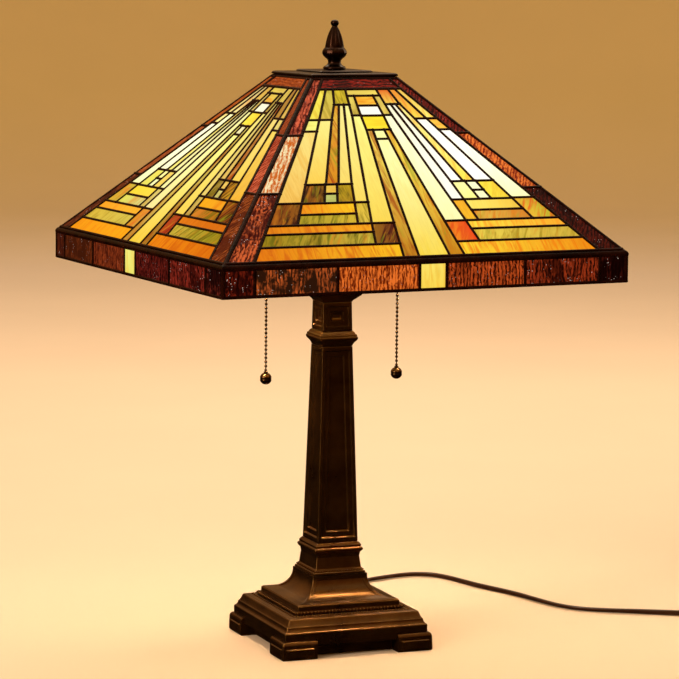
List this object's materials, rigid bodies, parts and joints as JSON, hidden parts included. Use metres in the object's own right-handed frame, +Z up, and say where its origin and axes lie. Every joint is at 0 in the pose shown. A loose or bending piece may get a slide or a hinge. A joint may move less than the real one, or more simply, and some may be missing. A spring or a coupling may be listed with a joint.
{
  "type": "stained glass table lamp",
  "caption": "Square leaded glass shade with skirt over a pull-chain twin socket, on a tapering square bronze column and a stepped base with corner feet.",
  "frame": {"origin": "on the table under the middle of the lamp", "axes": "+Z up the column, -Y towards the front panel that the picture shows most of, +X to the front's right"},
  "size_m": [0.7198, 0.4751, 0.595],
  "materials": {
    "bronze": "oil-rubbed bronze finish, satin",
    "cast_iron": "as cast",
    "brass": "satin, aged",
    "lead_came": "dark patina over lead and solder",
    "art_glass": "opalescent sheet glass",
    "granite_glass": "granite-textured cathedral glass",
    "bulb_glass": "frosted",
    "cord_brown": "soft satin",
    "tie_black": "matte"
  },
  "bodies": {
    "base": {"foot_front_right": "bronze", "foot_back_right": "bronze", "foot_back_left": "bronze", "foot_front_left": "bronze", "plinth": "bronze", "bead_strip": "bronze", "cavetto_tier": "bronze", "column_collar": "bronze", "shaft": "bronze", "capital": "bronze", "neck_block": "bronze", "top_flare": "bronze", "cluster_body": "bronze", "base_weight": "cast_iron", "base_washer": "brass", "base_nut": "brass", "center_rod": "brass", "column_nut": "brass", "cap_seat_nut": "brass", "arm_left": "brass", "socket_cap_left": "brass", "socket_shell_left": "brass", "chain_spout_left": "brass", "arm_right": "brass", "socket_cap_right": "brass", "socket_shell_right": "brass", "chain_spout_right": "brass", "cord": "cord_brown", "cord_coil": "cord_brown", "plug": "cord_brown", "cord_bushing": "cord_brown", "cord_tie": "tie_black"},
    "shade": {"cap_rim": "bronze", "cap_crown": "bronze", "panel_front": "art_glass", "skirt_front": "granite_glass", "panel_right": "art_glass", "skirt_right": "granite_glass", "panel_back": "art_glass", "skirt_back": "granite_glass", "panel_left": "art_glass", "skirt_left": "granite_glass", "hip_came_front_right": "lead_came", "hip_came_back_right": "lead_came", "hip_came_back_left": "lead_came", "hip_came_front_left": "lead_came", "eave_came": "lead_came", "rim_came": "lead_came", "collar_came": "lead_came"},
    "finial": {"finial": "bronze"},
    "bulb_left": {"bulb_left": "bulb_glass", "bulb_base_left": "brass"},
    "pull_link_left": {"pull_link_left": "brass"},
    "pull_left": {"pull_chain_left": "brass", "pull_ball_left": "brass"},
    "bulb_right": {"bulb_right": "bulb_glass", "bulb_base_right": "brass"},
    "pull_link_right": {"pull_link_right": "brass"},
    "pull_right": {"pull_chain_right": "brass", "pull_ball_right": "brass"}
  },
  "joints": [
    {"name": "shade_turn", "type": "hinge", "parent": "base", "child": "shade", "pos_m": [0, 0, 0.5415], "axis": [0, 0, 1], "continuous": true},
    {"name": "finial_turn", "type": "hinge", "parent": "base", "child": "finial", "pos_m": [0, 0, 0.55], "axis": [0, 0, 1], "continuous": true},
    {"name": "bulb_left_turn", "type": "hinge", "parent": "base", "child": "bulb_left", "pos_m": [-0.05909, 0, 0.40842], "axis": [-0.9848, 0, 0.1736], "continuous": true},
    {"name": "bulb_right_turn", "type": "hinge", "parent": "base", "child": "bulb_right", "pos_m": [0.05909, 0, 0.40842], "axis": [0.9848, 0, 0.1736], "continuous": true},
    {"name": "pull_left_slide", "type": "slide", "parent": "base", "child": "pull_link_left", "axis": [0, 0, -1], "range_m": [0, 0.012], "stiffness_N_per_m": 600},
    {"name": "pull_left_swing", "type": "hinge", "parent": "pull_link_left", "child": "pull_left", "pos_m": [-0.0669, 0, 0.37535], "axis": [0, 1, 0], "range_deg": [-15, 15]},
    {"name": "pull_right_slide", "type": "slide", "parent": "base", "child": "pull_link_right", "axis": [0, 0, -1], "range_m": [0, 0.012], "stiffness_N_per_m": 600},
    {"name": "pull_right_swing", "type": "hinge", "parent": "pull_link_right", "child": "pull_right", "pos_m": [0.0669, 0, 0.37535], "axis": [0, 1, 0], "range_deg": [-15, 15]}
  ]
}
